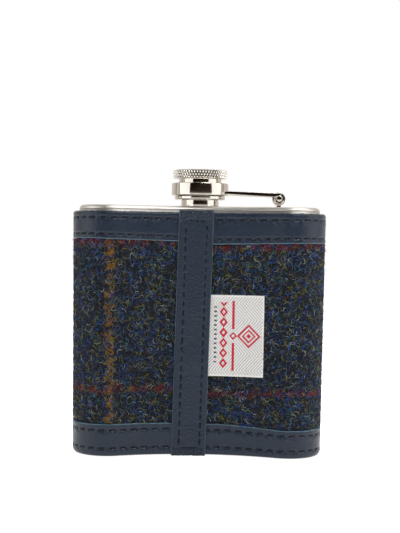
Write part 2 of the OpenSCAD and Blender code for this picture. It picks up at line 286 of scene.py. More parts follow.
class Finish:
    """A procedural material with its nodes."""

    def __init__(self, name, colour, roughness, metallic=0.0, **sockets):
        self.material = bpy.data.materials.new(name)
        self.material.use_nodes = True
        self.nodes, self.links = self.material.node_tree.nodes, self.material.node_tree.links
        self.shader = self.nodes["Principled BSDF"]
        self.shader.inputs["Base Color"].default_value = (*colour, 1)
        self.shader.inputs["Roughness"].default_value = roughness
        self.shader.inputs["Metallic"].default_value = metallic
        for key, value in sockets.items():
            self.shader.inputs[key.replace("_", " ")].default_value = value
        self.material.diffuse_color = (*colour, 1)

    def wire(self, out, into):
        self.links.new(out, into)

    def place(self, uv=None, scale=(1, 1, 1)):
        """Where the patterns lie: the object's own coordinates, or a named UV map."""
        if uv:
            source = self.nodes.new("ShaderNodeUVMap")
            source.uv_map = uv
            out = source.outputs["UV"]
        else:
            out = self.nodes.new("ShaderNodeTexCoord").outputs["Object"]
        mapping = self.nodes.new("ShaderNodeMapping")
        mapping.inputs["Scale"].default_value = scale
        self.wire(out, mapping.inputs["Vector"])
        return mapping.outputs["Vector"]

    def noise(self, place, scale, detail=3.0, roughness=0.55):
        node = self.nodes.new("ShaderNodeTexNoise")
        node.inputs["Scale"].default_value = scale
        node.inputs["Detail"].default_value = detail
        node.inputs["Roughness"].default_value = roughness
        self.wire(place, node.inputs["Vector"])
        return node.outputs[0]

    def cells(self, place, scale):
        node = self.nodes.new("ShaderNodeTexVoronoi")
        node.inputs["Scale"].default_value = scale
        self.wire(place, node.inputs["Vector"])
        return node.outputs["Distance"]

    def ramp(self, value, stops):
        node = self.nodes.new("ShaderNodeValToRGB")
        elements = node.color_ramp.elements
        while len(elements) < len(stops):
            elements.new(0.5)
        for element, (at, colour) in zip(elements, stops):
            element.position = at
            rgb = colour if hasattr(colour, "__len__") else (colour,) * 3
            element.color = (*rgb, 1)
        self.wire(value, node.inputs[0])
        return node.outputs[0]

    def attribute(self, name, output="Fac"):
        node = self.nodes.new("ShaderNodeAttribute")
        node.attribute_name = name
        return node.outputs[output]

    def mix(self, factor, a, b, kind="MIX"):
        node = self.nodes.new("ShaderNodeMix")
        node.data_type = "RGBA"
        node.blend_type = kind
        for value, socket in ((factor, node.inputs[0]), (a, node.inputs[6]), (b, node.inputs[7])):
            if isinstance(value, bpy.types.NodeSocket):
                self.wire(value, socket)
            elif hasattr(value, "__len__"):
                socket.default_value = (*value, 1)
            else:
                socket.default_value = value
        return node.outputs[2]

    def math(self, operation, a, b=0.5):
        node = self.nodes.new("ShaderNodeMath")
        node.operation = operation
        for value, socket in zip((a, b), node.inputs):
            if isinstance(value, bpy.types.NodeSocket):
                self.wire(value, socket)
            else:
                socket.default_value = value
        return node.outputs[0]

    def colour(self, out):
        self.wire(out, self.shader.inputs["Base Color"])

    def roughness(self, value, low, high):
        node = self.nodes.new("ShaderNodeMapRange")
        node.inputs["To Min"].default_value = low
        node.inputs["To Max"].default_value = high
        self.wire(value, node.inputs["Value"])
        self.wire(node.outputs[0], self.shader.inputs["Roughness"])

    def relief(self, height, strength, distance):
        node = self.nodes.new("ShaderNodeBump")
        node.inputs["Strength"].default_value = strength
        node.inputs["Distance"].default_value = distance
        self.wire(height, node.inputs["Height"])
        self.wire(node.outputs[0], self.shader.inputs["Normal"])


def tinted(colour, share):
    return tuple(min(1, c * share) for c in colour)


def steel_finish(name, colour, low, high, scratch, painted_shade_in=None, brush=(60, 60, 2600)):
    """Steel with brush lines, with painted shade: an optional attribute, 1 in a recess, darkens the colour
    there.
    """
    made = Finish(name, colour, low, 1.0)
    brushed = made.place(scale=brush)
    lines = made.noise(brushed, 1.0, 4)
    cloudy = made.noise(made.place(), 140, 3)
    tone = made.mix(cloudy, tinted(colour, 0.9), tinted(colour, 1.06))
    # Painted shade: where the attribute is 1, as in the knurl's grooves, the colour goes nearly black
    if painted_shade_in:
        tone = made.mix(made.attribute(painted_shade_in), tone, (0.035, 0.028, 0.02))
    made.colour(tone)
    made.roughness(made.math("MULTIPLY", lines, cloudy), low, high)
    made.relief(lines, scratch, 0.02 * MM)
    return made.material


def leather_finish(name, colour, roughness, grained=0.35):
    """Leather with small grain cells that are darker between them."""
    made = Finish(name, colour, roughness, Specular_IOR_Level=0.34)
    spot = made.place()
    grain, fine_grain = made.cells(spot, 1250), made.noise(spot, 2400, 4)
    cloudy = made.noise(spot, 120, 4)
    tone = made.mix(cloudy, tinted(colour, 0.8), tinted(colour, 1.25))
    top = made.ramp(grain, [(0.0, 0.0), (0.5, 1.0)])
    made.colour(made.mix(top, tinted(colour, 0.75), tone))
    made.roughness(cloudy, roughness - 0.08, roughness + 0.1)
    made.relief(made.math("ADD", grain, fine_grain), grained, 0.14 * MM)
    return made.material


def tweed_finish():
    made = Finish("felted_tweed", (0.03, 0.034, 0.042), 0.95, Specular_IOR_Level=0.15,
                  Sheen_Weight=0.04, Sheen_Roughness=0.6)
    cloth = made.place("cloth")
    fleck = made.noise(cloth, 1500, 2, 0.7)
    shade = made.ramp(fleck, [(0.30, (0.001, 0.001, 0.002)), (0.42, (0.004, 0.009, 0.032)),
                              (0.50, (0.005, 0.008, 0.011)), (0.58, (0.017, 0.018, 0.006)),
                              (0.68, (0.040, 0.047, 0.055))])
    patch = made.ramp(made.noise(cloth, 260, 3), [(0.35, 0.65), (0.65, 1.35)])
    shade = made.mix(1.0, shade, patch, "MULTIPLY")
    shade = made.mix(made.attribute("ochre"), shade, (0.15, 0.068, 0.005))
    made.colour(made.mix(made.attribute("red"), shade, (0.085, 0.007, 0.006)))
    felt = made.math("ADD", made.noise(cloth, 2400, 4, 0.7), made.noise(cloth, 700, 2))
    made.relief(felt, 0.8, 0.25 * MM)
    return made.material


def yarn_finish(name, colour, spread=0.5, roughness=0.85):
    made = Finish(name, colour, roughness, Specular_IOR_Level=0.2, Sheen_Weight=0.18)
    tone = made.noise(made.place(), 900, 2)
    made.colour(made.mix(tone, tinted(colour, 1 - spread), tinted(colour, 1 + spread)))
    return made.material


def label_finish():
    made = Finish("woven_ribbon", (0.7, 0.7, 0.69), 0.7, Specular_IOR_Level=0.3, Sheen_Weight=0.1)
    threads = made.noise(made.place("cloth", (7000, 1600, 1)), 1.0, 2)
    shade = made.ramp(threads, [(0.3, 0.86), (0.7, 1.0)])
    made.colour(made.mix(1.0, made.attribute("weave_colour", "Color"), shade, "MULTIPLY"))
    made.relief(threads, 0.25, 0.05 * MM)
    return made.material


NAVY = (0.0105, 0.0190, 0.0365)
satin = steel_finish("satin_steel", (0.60, 0.58, 0.545), 0.34, 0.5, 0.2, brush=(90, 2200, 2200))
bright = steel_finish("bright_steel", (0.64, 0.605, 0.55), 0.05, 0.17, 0.04)
# The knurl's grooves get painted shade through the groove attribute
knurled = steel_finish("knurled_steel", (0.90, 0.86, 0.79), 0.24, 0.42, 0.05,
                       painted_shade_in="groove", brush=(1500, 1500, 1500))
leather = leather_finish("navy_leather", NAVY, 0.30)
strap_leather = leather_finish("strap_leather", NAVY, 0.31, 0.8)
raw_edge = leather_finish("raw_leather_edge", (0.085, 0.15, 0.20), 0.7)
tweed = tweed_finish()
ribbon = label_finish()
# The thread is navy; its near-black tone is partly painted shade for the slots it lies in
thread = yarn_finish("navy_thread", (0.002, 0.003, 0.008), 0.4, 0.7)
lining_cloth = yarn_finish("lining_cloth", (0.03, 0.035, 0.05))
rubber = leather_finish("soft_seal", (0.03, 0.03, 0.03), 0.65)


# ---------------------------------------------------------------- steel flask

# Both long sides have their points at the same angles, so a plate closes along its middle line
stretches = [np.linspace(a, b, count) for a, b, count in zip(KNOTS[:-1], KNOTS[1:], (61, 61, 121, 61, 61))]
ROUND_S = np.unique(np.concatenate(stretches).round(12))
RIM_R = 1.5 * MM
NECK_HOLE_R = 6.4 * MM


def thicken(obj, thickness):
    """Gives a sheet its thickness, inwards from its outer face."""
    wall = obj.modifiers.new("sheet", "SOLIDIFY")
    wall.thickness = thickness
    wall.offset = -1


def plate(name, rim_z, flat_z, node):
    """Pressed plate: turned-down rim, rounded shoulder and flat, closed along its middle line."""
    way = math.copysign(1, flat_z - rim_z)
    turn = np.linspace(0, math.pi / 2, 9)
    rows = [(STEEL_R - RIM_R * (1 - math.cos(a)), rim_z + way * RIM_R * math.sin(a)) for a in turn]
    rows += [(r, flat_z) for r in np.linspace(STEEL_R - RIM_R, 0, 15)[1:]]
    if way < 0:
        rows = rows[::-1]
    rows = np.array(rows)
    neck_hole = (lambda c: math.hypot(c.x, c.y - NECK_Y) < NECK_HOLE_R) if way > 0 else None
    obj = grid(name, ROUND_S, np.arange(len(rows)), lambda s, k: place(s, rows[k, 0], rows[k, 1]), [satin],
               drop=neck_hole)
    thicken(obj, STEEL_T)
    return stand_for(obj, "brushed_steel", node)


def tube_wall(name, r, z0, z1, thickness, material, slot, node):
    """A wall of even thickness round the whole section."""
    obj = grid(name, ROUND_S, np.linspace(z0, z1, 24), lambda s, z: place(s, r, z), [material])
    thicken(obj, thickness)
    return stand_for(obj, slot, node)


plate("pressed_top", PLATE_RIM, PLATE_TOP, "top_plate")
plate("pressed_base", BASE_RIM, 0.0, "bottom_plate")
tube_wall("steel_body", STEEL_R, BASE_RIM, PLATE_RIM, STEEL_T, satin, "brushed_steel", "body_shell")
lining = tube_wall("inner_lining", LINING_R, SLEEVE_LOW, SLEEVE_TOP - 4.3 * MM, LINING_T,
                   lining_cloth, "lining", "sleeve_lining")

# ---------------------------------------------------------------- neck and cap

BORE_R, ROOT_R, COLLAR_R = 5 * MM, 6.1 * MM, 7.15 * MM
COLLAR_TOP = PLATE_TOP + 2.7 * MM
PITCH = 1.3 * MM
THREAD_TALL = 0.5 * MM
thread_rows = [(ROOT_R, z) for z in fine(COLLAR_TOP + 0.3 * MM, NECK_TOP - 0.4 * MM, 0.11 * MM)]


def cut_thread(vert):
    """Raises a helical thread on the neck's outer wall."""
    x, y, z = vert.co.x, vert.co.y - NECK_Y, vert.co.z
    r = math.hypot(x, y)
    low, high = COLLAR_TOP + 0.35 * MM, NECK_TOP - 0.45 * MM
    if abs(r - ROOT_R) > 0.02 * MM or not low < z < high:
        return
    phase = (z / PITCH - math.atan2(y, x) / (2 * math.pi)) % 1
    fade = min(1, (z - low) / (0.6 * MM), (high - z) / (0.6 * MM))
    rise = THREAD_TALL * fade * max(0, min(1, 1.6 - 3.2 * abs(phase - 0.5)))
    vert.co.x, vert.co.y = x * (r + rise) / r, NECK_Y + y * (r + rise) / r


neck_profile = eased([(BORE_R, NECK_LOW), (ROOT_R, NECK_LOW), (ROOT_R, PLATE_TOP), (COLLAR_R, PLATE_TOP),
                      (COLLAR_R, COLLAR_TOP), (ROOT_R, COLLAR_TOP)], 0.16 * MM)
neck_profile += thread_rows
# Only the two rounded corners of the rim are taken from this outline
rim = eased([(ROOT_R, COLLAR_TOP), (ROOT_R, NECK_TOP), (BORE_R, NECK_TOP), (BORE_R, NECK_LOW)], 0.2 * MM)
neck_profile += rim[5:15]
stand_for(turned("threaded_neck", neck_profile, bright, 144, shape=cut_thread), "polished_steel", "neck")

CAP_BORE, WAIST_R, FLANGE_R, HEAD_R = 7.1 * MM, 8.1 * MM, 9.6 * MM, 10.3 * MM
FLANGE_TOP = SKIRT_LOW + 1.3 * MM
PLUG_R = 3.55 * MM
skirt_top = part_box("cap_skirt")[1].z
seal_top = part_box("cap_seal")[1].z
skirt = eased([(CAP_BORE, SKIRT_LOW), (FLANGE_R, SKIRT_LOW), (FLANGE_R, FLANGE_TOP), (WAIST_R, FLANGE_TOP),
               (WAIST_R, HEAD_LOW), (PLUG_R, HEAD_LOW), (PLUG_R, skirt_top), (0, skirt_top),
               (0, seal_top), (CAP_BORE, seal_top)], 0.35 * MM)
stand_for(turned("cap_cup", skirt, bright, 144), "polished_steel", "cap_skirt", body="cap")

RING_BORE, RING_R = 8.3 * MM, 10.8 * MM
ring = eased([(RING_BORE, RING_LOW), (RING_R, RING_LOW), (RING_R, RING_TOP), (RING_BORE, RING_TOP)],
             0.45 * MM, 6)
stand_for(turned("broad_ring", ring, bright, 160), "polished_steel", "captive_ring", body="arm")

KNURL_LOW, KNURL_TOP = HEAD_LOW + 0.14 * MM, HEAD_TOP - 0.66 * MM
DIAMONDS, DIAMOND_ROWS, KNURL_DEEP = 58, 1.35, 0.42 * MM
knurl_z = fine(KNURL_LOW, KNURL_TOP, 0.11 * MM)
# From the middle of the head's hollow underside, out over the knurl and back to the middle of its top
SOCKET_R, SOCKET_TOP = 3.6 * MM, skirt_top + 0.04 * MM
head_rows = [(0, SOCKET_TOP), (SOCKET_R, SOCKET_TOP), (SOCKET_R, HEAD_LOW), (7.4 * MM, HEAD_LOW),
             (HEAD_R - 0.6 * MM, HEAD_LOW), (HEAD_R - 0.25 * MM, HEAD_LOW + 0.05 * MM)]
head_rows += [(HEAD_R, z) for z in knurl_z]
head_rows += [(HEAD_R - 0.3 * MM, KNURL_TOP + 0.12 * MM), (HEAD_R - 0.6 * MM, KNURL_TOP + 0.24 * MM)]
for share in np.linspace(0.92, 0, 12):
    head_rows.append((HEAD_R * share, HEAD_TOP - 0.5 * MM * share ** 2))
head_rows = np.array(head_rows)


def groove(turn, z):
    """Two families of grooves that cross in diamonds: 1 in a groove, 0 on a diamond."""
    up = (z - KNURL_LOW) / (KNURL_TOP - KNURL_LOW)
    a, b = turn * DIAMONDS + up * DIAMOND_ROWS, turn * DIAMONDS - up * DIAMOND_ROWS
    ridge = np.minimum(1 - np.abs(2 * (a % 1) - 1), 1 - np.abs(2 * (b % 1) - 1))
    on_knurl = (z > KNURL_LOW - 0.01 * MM) * (z < KNURL_TOP + 0.01 * MM)
    return (1 - np.clip(ridge * 1.35, 0, 1)) * on_knurl


def knurled_head(turn, row):
    r, z = head_rows[row, 0].copy(), head_rows[row, 1]
    r = np.where(np.abs(r - HEAD_R) < 0.01 * MM, r - KNURL_DEEP * groove(turn, z), r)
    angle = 2 * math.pi * turn
    return np.stack([r * np.cos(angle), NECK_Y + r * np.sin(angle), z], -1)


# The groove attribute also carries the painted shade in the knurl's grooves
head = grid("knurled_head", np.linspace(0, 1, DIAMONDS * 8 + 1), np.arange(len(head_rows)), knurled_head,
            [knurled], masks=lambda turn, z: {"groove": groove(turn, z)}, sharp=50)
stand_for(head, "polished_steel", "cap_head", body="cap")


def softened(name, node, width, body):
    """A bright machined part with its edges broken."""
    bm = bmesh.new()
    bm.from_mesh(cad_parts[node].data)
    bmesh.ops.remove_doubles(bm, verts=bm.verts, dist=0.005 * MM)
    bmesh.ops.dissolve_limit(bm, angle_limit=math.radians(1), verts=bm.verts, edges=bm.edges)
    edges = [e for e in bm.edges if len(e.link_faces) == 2 and e.calc_face_angle(0) > math.radians(40)]
    bmesh.ops.bevel(bm, geom=edges, offset=width, offset_type="OFFSET", segments=3, profile=0.5,
                    affect="EDGES", clamp_overlap=True, material=-1)
    obj = finish_mesh(name, bm, [bright], 30)
    return stand_for(obj, "polished_steel", node, body=body)


softened("hinged_arm", "arm", 0.09 * MM, "arm")
softened("hinge_lug", "hinge_bracket", 0.12 * MM, BODY)
softened("rivet_pin", "hinge_pin", 0.25 * MM, "arm")
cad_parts["cap_seal"].material_slots[0].material = rubber

# ---------------------------------------------------------------- stitch rows

LEATHER_S = np.linspace(0, WRAP_L, 1041)
# Each stitch climbs by this share of its own length
SLANT = 0.10
PLY_POINTS = np.linspace(-0.5, 0.5, 9)
PLY_R = 0.14 * MM
STITCH_GAP = 1.15 * MM


class Row:
    """A row of stitches round the sleeve."""

    def __init__(self, height, pitch, drift, share):
        self.height, self.drift, self.share = height, drift, share
        gap = STRAP_W + pitch * 0.6
        self.count = int((WRAP_L - gap) / pitch)
        self.pitch = (WRAP_L - gap) / self.count
        self.start = SEAM_S + gap / 2 + self.pitch / 2

    def z(self, s):
        return self.height + self.drift(s) * self.share

    def press(self, s, z):
        """How far the thread pulls the leather in, and the puckers beside it."""
        dz = z - self.z(s)
        phase = ((s - self.start) / self.pitch + 0.5) % 1
        from_middle = np.abs(phase - 0.5) * self.pitch
        in_stitch = np.clip((1.35 * MM - from_middle) / (0.35 * MM), 0, 1)
        slot = 0.46 * MM * bump(dz - SLANT * (phase - 0.5) * self.pitch, 0.31 * MM) * in_stitch
        pillow = 0.05 * MM * bump(np.abs(dz) - 0.8 * MM, 0.5 * MM) * np.cos(2 * math.pi * phase)
        bridge = 0.08 * MM * bump(dz, 0.9 * MM) * bump(from_middle - self.pitch / 2, 0.5 * MM)
        crumpled = value_noise((s + 0.9 * dz) / (0.46 * MM), (s - dz) / (1.6 * MM), 5)
        crease = crumpled * 0.16 * MM * bump(dz + 0.6 * MM, 1.1 * MM)
        return crease + bridge - slot - pillow - 0.13 * MM * bump(dz, 0.55 * MM)

    def threads(self, r):
        """Two plies for each stitch."""
        at = self.start + np.arange(self.count) * self.pitch
        along = PLY_POINTS
        s = at[:, None] + along * (self.pitch - STITCH_GAP)
        sink = (0.30 * MM) * (np.abs(2 * along) ** 5)
        paths = []
        for ply in (0, math.pi):
            twist = along * 7 * math.pi + ply
            z = self.z(s) + SLANT * along * self.pitch + 0.07 * MM * np.cos(twist)
            paths.append(on_sleeve(s, r + 0.06 * MM * np.sin(twist) - 0.22 * MM - sink, z))
        paths = np.concatenate(paths)
        return paths, np.full(paths.shape[:2], PLY_R)


rows = {
    "stitching_top_upper": Row(SLEEVE_TOP - 2.6 * MM, 4.0 * MM, top_drift, 0.12),
    "stitching_top_lower": Row(TOP_BAND_LOW + 1.95 * MM, 3.6 * MM, top_drift, 0.85),
    "stitching_bottom_upper": Row(BOTTOM_BAND_TOP - 2.2 * MM, 4.0 * MM, bottom_drift, 0.85),
    "stitching_bottom_lower": Row(SLEEVE_LOW + 2.9 * MM, 4.0 * MM, bottom_drift, 0.12),
}


def leather_relief(s, z, pair):
    wave = value_noise(s / (13 * MM), z / (6 * MM), 3) * 0.03 * MM
    return wave + sum(rows[name].press(s, z) for name in pair)


# ---------------------------------------------------------------- leather bands

def band(name, profile, edge_rows, pair, drift, low, high, moving, node):
    """A strip of leather round the sleeve with a closed profile of (r, z); its moving edge drifts."""
    profile = np.array(profile + profile[:1])

    def shape(s, k):
        r, z = profile[k, 0], profile[k, 1].copy()
        from_still = high - z if moving == "low" else z - low
        z = z + drift(s) * np.clip(from_still / (high - low), 0, 1)
        folded = np.clip((profile[k, 1] - SLEEVE_TOP + 1.2 * MM) / (0.8 * MM), 0, 1)
        z = z + folded * (value_noise(s / (0.7 * MM), r / (0.9 * MM), 6) - 1) * 0.14 * MM
        outer = np.clip((r - EDGE_R) / (0.3 * MM), 0, 1)
        return on_sleeve(s, r + leather_relief(s, z, pair) * outer, z)

    obj = grid(name, LEATHER_S, np.arange(len(profile)), shape, [leather, raw_edge],
               face_material=lambda k: np.isin(k, edge_rows))
    return stand_for(obj, "leather", node)


fold = [(12.15 * MM + 1.1 * MM * math.cos(a), SLEEVE_TOP - 1.1 * MM + 1.1 * MM * math.sin(a))
        for a in np.linspace(0, math.pi, 13)]
top_profile = [(HEM_R, TOP_BAND_LOW), (EDGE_R, TOP_BAND_LOW), (13.12 * MM, TOP_BAND_LOW + 0.1 * MM),
               (BAND_R, TOP_BAND_LOW + 0.32 * MM)]
top_profile += [(BAND_R, z) for z in fine(TOP_BAND_LOW + 0.55 * MM, SLEEVE_TOP - 1.4 * MM, 0.31 * MM)]
top_profile += fold + [(11.06 * MM, SLEEVE_TOP - 4.2 * MM), (11.55 * MM, SLEEVE_TOP - 4.2 * MM),
                       (11.55 * MM, SLEEVE_TOP - 1.6 * MM), (HEM_R, SLEEVE_TOP - 1.6 * MM)]
band("upper_leather_band", top_profile, [0, 1, 2], ("stitching_top_upper", "stitching_top_lower"),
     top_drift, TOP_BAND_LOW, SLEEVE_TOP, "low", "top_band")

low_profile = [(11.75 * MM, SLEEVE_LOW), (12.2 * MM, SLEEVE_LOW), (12.6 * MM, SLEEVE_LOW + 0.17 * MM),
               (12.92 * MM, SLEEVE_LOW + 0.5 * MM), (13.12 * MM, SLEEVE_LOW + 0.95 * MM),
               (13.22 * MM, SLEEVE_LOW + 1.4 * MM)]
low_profile += [(BAND_R, z) for z in fine(SLEEVE_LOW + 1.8 * MM, BOTTOM_BAND_TOP - 0.6 * MM, 0.31 * MM)]
edge_from = len(low_profile) - 1
low_profile += [(BAND_R, BOTTOM_BAND_TOP - 0.34 * MM), (13.1 * MM, BOTTOM_BAND_TOP - 0.08 * MM),
                (EDGE_R, BOTTOM_BAND_TOP), (HEM_R, BOTTOM_BAND_TOP)]
band("lower_leather_band", low_profile, [edge_from + 1, edge_from + 2, edge_from + 3],
     ("stitching_bottom_upper", "stitching_bottom_lower"), bottom_drift, SLEEVE_LOW, BOTTOM_BAND_TOP,
     "high", "bottom_band")

for name, row in rows.items():
    sewn = strands("thread_" + name.removeprefix("stitching_"), *row.threads(BAND_R), thread)
    stand_for(sewn, "thread", name)

# ---------------------------------------------------------------- strap over the seam

STRAP_LOW, STRAP_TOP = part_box("seam_strap")[0].z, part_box("seam_strap")[1].z
HALF_W = STRAP_W / 2
STRAP_ROWS = {"left": (-HALF_W + 2.7 * MM, 3.4 * MM, "stitching_strap_left"),
              "right": (HALF_W - 2.3 * MM, 3.05 * MM, "stitching_strap_right")}
ROW_LOW, ROW_HIGH = 3.9 * MM, SLEEVE_TOP - 4.2 * MM
TACKS = (3.1 * MM, SLEEVE_TOP - 3.3 * MM)


def strap_relief(x, z):
    made = value_noise(x / (5 * MM), z / (7 * MM), 11) * 0.07 * MM
    for inset, pitch, _ in STRAP_ROWS.values():
        dx, phase = x - inset, (z - ROW_LOW) / pitch % 1
        from_middle = np.abs(phase - 0.5) * pitch
        within = (z > ROW_LOW) & (z < ROW_LOW + int((ROW_HIGH - ROW_LOW) / pitch) * pitch)
        slot = np.clip((1.2 * MM - from_middle) / (0.35 * MM), 0, 1) * 0.40 * MM * bump(dx, 0.36 * MM)
        made = made - within * (slot + 0.04 * MM * bump(dx, 0.8 * MM))
        crumpled = value_noise(z / (0.7 * MM), dx / (1.3 * MM), 13)
        made = made + within * crumpled * 0.07 * MM * bump(dx, 1.2 * MM)
    for tack in TACKS:
        made = made - 0.20 * MM * bump(z - tack, 0.5 * MM)
    ends = bump(np.maximum(0, STRAP_TOP - z), 3.2 * MM) + bump(np.maximum(0, z - STRAP_LOW), 3.0 * MM)
    return made + ends * value_noise((x + z) / (0.55 * MM), (x - z) / (0.8 * MM), 12) * 0.42 * MM


# Round the strap's cross-section: share of its half width, and distance from the middle line in mm
across = [(-1, 13.28), (-1, 13.7), (-0.985, 14.05), (-0.95, 14.22)]
across += [(x, 14.25) for x in np.linspace(-0.9, 0.9, 57)]
across += [(0.95, 14.22), (0.985, 14.05), (1, 13.7), (1, 13.28), (-1, 13.28)]
across = np.array(across)
strap_z = fine(STRAP_LOW, STRAP_TOP, 0.24 * MM)


def strap_shape(z, k):
    x, r = across[k, 0] * HALF_W, across[k, 1] * MM
    r = np.where(r > 14 * MM, r + strap_relief(x, z), r)
    lean = strap_x(z) + x
    return on_sleeve(s_of_x(lean, STRAP_R), r, z)


def turn_out(obj):
    """Closes the strap's two ends and points its faces outwards."""
    bm = bmesh.new()
    bm.from_mesh(obj.data)
    filled = bmesh.ops.holes_fill(bm, edges=[e for e in bm.edges if e.is_boundary], sides=0)["faces"]
    for face in filled:
        face.material_index = 1
    bmesh.ops.recalc_face_normals(bm, faces=bm.faces)
    bm.to_mesh(obj.data)
    bm.free()
    return obj


strap = grid("seam_cover_strap", strap_z, np.arange(len(across)), strap_shape, [strap_leather, raw_edge],
             face_material=lambda k: np.isin(k, [0, 1, len(across) - 4, len(across) - 3]), sharp=60)
stand_for(turn_out(strap), "leather", "seam_strap")


def strap_threads(inset, pitch):
    count = int((ROW_HIGH - ROW_LOW) / pitch)
    along = PLY_POINTS
    z = (ROW_LOW + (np.arange(count) + 0.5) * pitch)[:, None] + along * (pitch - 1.1 * MM)
    sink = 0.28 * MM * np.abs(2 * along) ** 5
    made = []
    for ply in (0, math.pi):
        twist = along * 6 * math.pi + ply
        x = strap_x(z) + inset + 0.08 * MM * np.cos(twist)
        r = STRAP_R + 0.08 * MM * np.sin(twist) - 0.18 * MM - sink
        made.append(on_sleeve(s_of_x(x, STRAP_R), r, z))
    made = np.concatenate(made)
    return made, np.full(made.shape[:2], 0.13 * MM)


for side, (inset, pitch, node) in STRAP_ROWS.items():
    stand_for(strands("strap_thread_" + side, *strap_threads(inset, pitch), thread), "thread", node)

tack_x = np.linspace(-HALF_W + 3.4 * MM, HALF_W - 3.0 * MM, 4)
tack_paths = []
for height in TACKS:
    for middle in (tack_x[:-1] + tack_x[1:]) / 2:
        x = strap_x(height) + middle + PLY_POINTS * 1.9 * MM
        sink = 0.28 * MM * np.abs(2 * PLY_POINTS) ** 5
        tack_paths.append(on_sleeve(s_of_x(x, STRAP_R), STRAP_R - 0.08 * MM - sink, height + 0 * x))
tack_paths = np.array(tack_paths)
stand_for(strands("strap_thread_ends", tack_paths, np.full(tack_paths.shape[:2], 0.17 * MM), thread, 1),
          "thread", "stitching_strap_ends")

# ---------------------------------------------------------------- tweed

RED_ROWS = (24.6 * MM, 78.6 * MM)
OCHRE_ENDS = (-33.2 * MM, -97.2 * MM, -161.2 * MM)
RED_DASH, RED_SWAY = 5.1 * MM, 0.35 * MM
OCHRE_DASH, OCHRE_SWAY = 5 * MM, 0.5 * MM
TWILL = 2.1 * MM


def dashes(at, pitch):
    """From 0 between two dashes to 1 in the middle of one."""
    return 0.5 + 0.5 * np.cos(2 * math.pi * at / pitch)


def sway(at, pitch, width):
    """How far a stripe leans to one side and the other along its length."""
    return width * np.sin(2 * math.pi * at / pitch)


def stripe_masks(s, z):
    """Blobby dashes where coloured yarns rise through the twill."""
    ragged = value_noise(s / (0.7 * MM), z / (0.7 * MM), 21)
    red = np.zeros_like(s)
    for height in RED_ROWS:
        dz = z - height - weft_drift(s) - sway(s, RED_DASH, RED_SWAY)
        shown = np.clip(-0.4 + 1.05 * dashes(s, RED_DASH) + 0.9 * ragged, 0, 1)
        red = np.maximum(red, bump(dz, 0.85 * MM) * shown)
    ochre = np.zeros_like(s)
    for middle in OCHRE_ENDS:
        ds = (s - middle + WRAP_L / 2) % WRAP_L - WRAP_L / 2
        shown = np.clip(-0.3 + 0.9 * dashes(z, OCHRE_DASH) + 0.8 * ragged, 0, 1)
        ochre = np.maximum(ochre, bump(ds - sway(z, OCHRE_DASH, OCHRE_SWAY), 1.25 * MM) * shown)
    return {"red": np.clip(red * 1.2, 0, 1), "ochre": np.clip(ochre, 0, 0.9)}


def cloth_shape(s, z):
    low, high = BOTTOM_BAND_TOP + bottom_drift(s), TOP_BAND_LOW + top_drift(s)
    inside = np.clip((z - low) / (0.8 * MM), 0, 1) * np.clip((high - z) / (0.8 * MM), 0, 1)
    inside = inside * inside * (3 - 2 * inside)
    twill = np.sin(2 * math.pi * (s + z) / TWILL) * 0.05 * MM
    felt = value_noise(s / (0.8 * MM), z / (0.8 * MM), 31) * 0.10 * MM
    felt = felt + value_noise(s / (6 * MM), z / (6 * MM), 32) * 0.12 * MM
    return on_sleeve(s, HEM_R - 0.06 * MM + (CLOTH_R - HEM_R) * inside + (twill + felt) * inside, z)


cloth_z = fine(SLEEVE_LOW + 0.1 * MM, SLEEVE_TOP - 1.8 * MM, 0.5 * MM)
cloth = grid("tweed_cloth", np.linspace(0, WRAP_L, 461), cloth_z, cloth_shape, [tweed], masks=stripe_masks)
stand_for(cloth, "tweed", "tweed_wrap")

WOOLS = [("navy", (0.006, 0.026, 0.150), 4700), ("blue", (0.020, 0.090, 0.36), 1900),
         ("slate", (0.080, 0.108, 0.128), 2900), ("pale", (0.28, 0.33, 0.33), 850),
         ("olive", (0.165, 0.155, 0.004), 2900), ("teal", (0.012, 0.105, 0.130), 2000),
         ("black", (0.0015, 0.002, 0.003), 5000), ("coal", (0.004, 0.005, 0.008), 5000),
         ("brown", (0.10, 0.042, 0.020), 1300),
         ("rust", (0.15, 0.008, 0.005), 1200), ("ochre", (0.27, 0.130, 0.003), 680)]


def curls(count, seed, at=None):
    """Wool fibres that curl over the cloth, a few of them standing out of it."""
    rng = np.random.default_rng(seed)
    low, high = BOTTOM_BAND_TOP + 0.2 * MM, TOP_BAND_LOW - 0.2 * MM
    if at is None:
        s = rng.uniform(0, WRAP_L, count)
        share = rng.uniform(0, 1, count)
        z = low + bottom_drift(s) + share * (high + top_drift(s) - low - bottom_drift(s))
    else:
        s, z = at(rng, count)
        keep = (z > low + bottom_drift(s)) & (z < high + top_drift(s))
        s, z = s[keep], z[keep]
    count = len(s)
    points = 5
    length = rng.uniform(1.0, 2.9, count) * MM
    bend = rng.choice([-1, 1], count) * length / (rng.uniform(0.5, 1.8, count) * MM)
    heading = rng.uniform(0, 2 * math.pi, count)
    t = np.linspace(0, 1, points)
    angle = heading[:, None] + bend[:, None] * t
    step = length[:, None] / (points - 1)
    ds = np.cumsum(np.cos(angle) * step, 1) - np.cos(angle[:, :1]) * step
    dz = np.cumsum(np.sin(angle) * step, 1) - np.sin(angle[:, :1]) * step
    stray = rng.uniform(0, 1, count) < 0.06
    lift = np.where(stray, rng.uniform(0.5, 1.6, count), rng.uniform(0.05, 0.30, count)) * MM
    rise = np.where(stray[:, None], t ** 1.3, np.sin(math.pi * t)) * lift[:, None]
    lowest, highest = low - 0.3 * MM + bottom_drift(s), high + 0.2 * MM + top_drift(s)
    z_now = np.clip(z[:, None] + dz, lowest[:, None], highest[:, None])
    paths = on_sleeve(s[:, None] + ds, CLOTH_R + 0.02 * MM + rise, z_now)
    width = np.where(stray, 0.025, rng.uniform(0.055, 0.095, count)) * MM
    return paths, width[:, None] * np.array([0.7, 1, 1, 0.95, 0.4])


